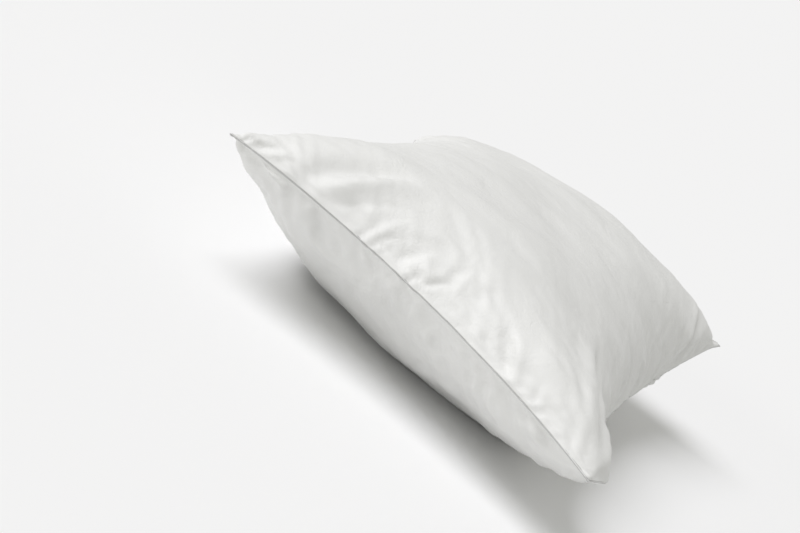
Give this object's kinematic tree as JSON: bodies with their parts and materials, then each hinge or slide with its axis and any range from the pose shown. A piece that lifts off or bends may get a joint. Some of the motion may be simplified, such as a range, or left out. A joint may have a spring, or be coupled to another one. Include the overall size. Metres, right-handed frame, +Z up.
{
  "type": "bed pillow",
  "caption": "Soft rectangular bed pillow in a plain envelope pillowcase, crowned in the middle with drawn-out flat corners.",
  "frame": {"origin": "middle of the pillow's bounding box, at the height of the surface it lies on", "axes": "+X along the length from the case's closed end to its open end, +Y across the width, +Z up"},
  "size_m": [0.68, 0.48, 0.1923],
  "materials": {
    "case_cotton": "smooth white cotton sateen",
    "shell_cotton": "dense downproof cotton cambric, slightly warm white",
    "fibre_fill": "soft white polyester fibre",
    "sewing_thread": "white spun polyester thread",
    "label_satin": "blank white woven satin ribbon"
  },
  "bodies": {
    "root": {"case_top_panel": "case_cotton", "case_bottom_panel": "case_cotton", "case_tuck_flap": "case_cotton", "case_seam_thread": "sewing_thread", "case_hem_thread": "sewing_thread", "case_flap_seam_thread": "sewing_thread", "case_flap_hem_thread": "sewing_thread", "case_bar_tacks": "sewing_thread", "case_care_label": "label_satin", "pillow_top_shell": "shell_cotton", "pillow_bottom_shell": "shell_cotton", "pillow_edge_piping": "shell_cotton", "pillow_seam_thread": "sewing_thread", "pillow_closing_thread": "sewing_thread", "pillow_care_label": "label_satin", "pillow_fibre_fill": "fibre_fill"}
  },
  "joints": []
}
